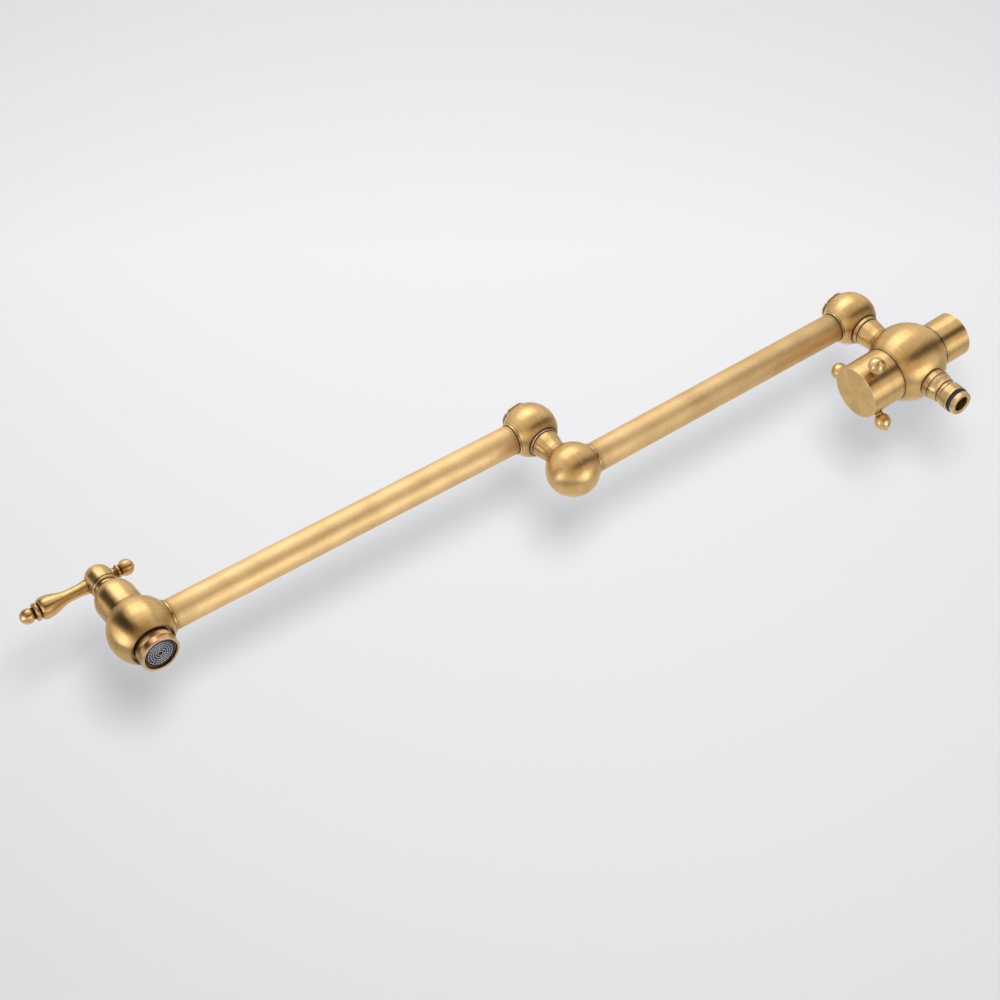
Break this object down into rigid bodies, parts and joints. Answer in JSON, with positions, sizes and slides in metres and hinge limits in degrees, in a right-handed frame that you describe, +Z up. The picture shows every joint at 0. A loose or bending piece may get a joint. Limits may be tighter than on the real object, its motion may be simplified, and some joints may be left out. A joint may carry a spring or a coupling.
{
  "type": "folding wall-mounted swing-arm tap",
  "caption": "Folding swing-arm wall tap with ball-shaped swivels, a diverter knob with ball studs, a hose nipple, and a lever-operated valve above the aerator.",
  "frame": {"origin": "centre of the inlet's mouth on the wall plane", "axes": "+Y runs out of the inlet into the wall, the tap reaches into the room along -Y, +Z is up"},
  "size_m": [0.0721, 0.5918, 0.2035],
  "materials": {
    "antique_brass": "brushed antique brass with darker bronze shading towards the edges, satin lacquer",
    "plain_brass": "plain machined brass",
    "black_rubber": "matt black rubber",
    "ceramic": "polished white alumina ceramic, opaque",
    "bearing_plastic": "off-white low-friction bearing plastic",
    "grey_plastic": "moulded grey plastic",
    "steel": "stainless steel"
  },
  "bodies": {
    "base": {"valve_body": "antique_brass", "inlet_sleeve": "antique_brass", "inlet_washer": "black_rubber", "hose_nipple": "antique_brass", "nipple_gasket": "black_rubber", "nipple_o_ring": "black_rubber", "diverter_housing": "plain_brass", "diverter_fixed_disc": "ceramic", "diverter_seat_seal": "black_rubber", "riser_spigot": "antique_brass", "riser_o_rings": "black_rubber", "riser_washer": "plain_brass", "riser_nut": "plain_brass"},
    "knob": {"diverter_knob": "antique_brass", "knob_studs": "antique_brass", "knob_grub_screw": "steel", "diverter_spindle": "plain_brass", "diverter_moving_disc": "ceramic"},
    "inner_arm": {"inner_ball": "antique_brass", "inner_bush": "bearing_plastic", "inner_cap": "antique_brass", "inner_cap_gasket": "black_rubber", "inner_tube": "antique_brass", "elbow_ball": "antique_brass", "elbow_spigot": "antique_brass", "elbow_o_rings": "black_rubber", "elbow_washer": "plain_brass", "elbow_nut": "plain_brass"},
    "outer_arm": {"outer_ball": "antique_brass", "outer_bush": "bearing_plastic", "outer_cap": "antique_brass", "outer_cap_gasket": "black_rubber", "outer_tube": "antique_brass", "spout_ball": "antique_brass", "spout_cartridge": "plain_brass", "spout_fixed_disc": "ceramic", "spout_seat_seal": "black_rubber", "spout_bonnet": "antique_brass", "aerator_seal": "black_rubber", "aerator_housing": "antique_brass", "aerator_insert": "grey_plastic"},
    "handle": {"handle_hub": "antique_brass", "lever": "antique_brass", "lever_finial": "antique_brass", "spout_spindle": "plain_brass", "spout_moving_disc": "ceramic"}
  },
  "joints": [
    {"name": "wall_swing", "type": "hinge", "parent": "base", "child": "inner_arm", "pos_m": [0, -0.041, 0.053], "axis": [0, 0, 1], "range_deg": [-92.5, 87.5]},
    {"name": "elbow_swing", "type": "hinge", "parent": "inner_arm", "child": "outer_arm", "pos_m": [0.00981, -0.26579, 0.0965], "axis": [0, 0, 1], "range_deg": [-181.1, 178.9]},
    {"name": "diverter_turn", "type": "hinge", "parent": "base", "child": "knob", "pos_m": [0, -0.041, 0], "axis": [0, -1, 0], "range_deg": [-90, 90]},
    {"name": "lever_turn", "type": "hinge", "parent": "outer_arm", "child": "handle", "pos_m": [0.02708, -0.54024, 0.1445], "axis": [0, 0, 1], "range_deg": [0, 90]}
  ]
}
